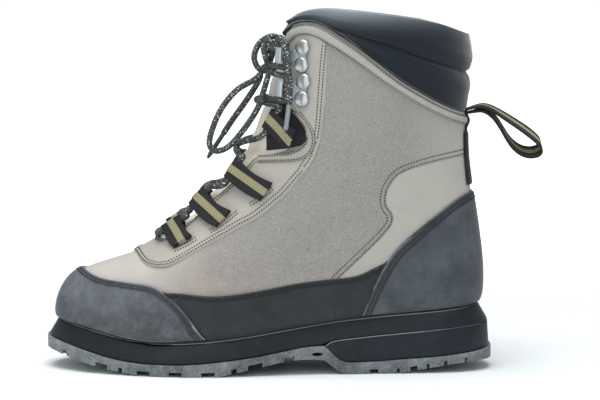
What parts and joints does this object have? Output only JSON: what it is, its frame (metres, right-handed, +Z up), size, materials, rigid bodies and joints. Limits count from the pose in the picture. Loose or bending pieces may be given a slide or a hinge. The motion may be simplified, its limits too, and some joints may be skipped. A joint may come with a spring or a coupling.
{
  "type": "wading boot",
  "caption": "High lace-up left wading boot with padded collar, toe cap, heel counter, webbing lace loops, lace hooks and lugged sole.",
  "frame": {"origin": "middle of the flat heel rest, on the floor under the front half of the heel", "axes": "toe towards -X, heel towards +X, lateral side at -Y, +Z up"},
  "size_m": [0.3474, 0.1171, 0.2505],
  "materials": {
    "outsole_rubber": "moulded, matt light grey",
    "midsole_black": "dense foam rubber, matt black",
    "wedge_black": "dense foam rubber, matt black",
    "insole_foam": "cloth over foam",
    "upper_twill": "coated twill, pale khaki grey",
    "cap_rubber": "satin grey",
    "rand_rubber": "matt dark grey",
    "counter_rubber": "satin dark grey",
    "facing_synthetic": "smooth synthetic leather, matt",
    "binding_synthetic": "smooth synthetic leather, matt",
    "notch_binding": "folded tape",
    "backstay_web": "woven tape",
    "cuff_mesh": "padded cloth",
    "tongue_synthetic": "soft synthetic leather",
    "webbing": "woven webbing with a pale stripe",
    "hook_metal": "black coated steel",
    "rivet_metal": "dark coated, domed",
    "lace_cord": "round braided cord",
    "pull_webbing": "woven webbing with a pale stripe",
    "end_cord": "round braided cord"
  },
  "bodies": {
    "root": {"outsole": "outsole_rubber", "midsole": "midsole_black", "heel_wedge": "wedge_black", "insole": "insole_foam", "upper": "upper_twill", "toe_cap": "cap_rubber", "rand_lateral": "rand_rubber", "rand_medial": "rand_rubber", "heel_counter": "counter_rubber", "facing": "facing_synthetic", "top_binding": "binding_synthetic", "notch_binding_lateral": "notch_binding", "notch_binding_medial": "notch_binding", "backstay": "backstay_web", "cuff": "cuff_mesh", "tongue": "tongue_synthetic", "loop_lateral_1": "webbing", "rivet_lateral_1": "rivet_metal", "loop_lateral_2": "webbing", "rivet_lateral_2": "rivet_metal", "loop_lateral_3": "webbing", "rivet_lateral_3": "rivet_metal", "loop_lateral_4": "webbing", "rivet_lateral_4": "rivet_metal", "hook_lateral_1": "hook_metal", "hook_lateral_2": "hook_metal", "loop_medial_1": "webbing", "rivet_medial_1": "rivet_metal", "loop_medial_2": "webbing", "rivet_medial_2": "rivet_metal", "loop_medial_3": "webbing", "rivet_medial_3": "rivet_metal", "loop_medial_4": "webbing", "rivet_medial_4": "rivet_metal", "hook_medial_1": "hook_metal", "hook_medial_2": "hook_metal", "lace": "lace_cord", "pull_loop": "pull_webbing", "knot": "end_cord", "bow_loop_large": "end_cord", "bow_loop_small": "end_cord", "lace_end_front": "end_cord", "lace_end_lateral": "end_cord"}
  },
  "joints": []
}
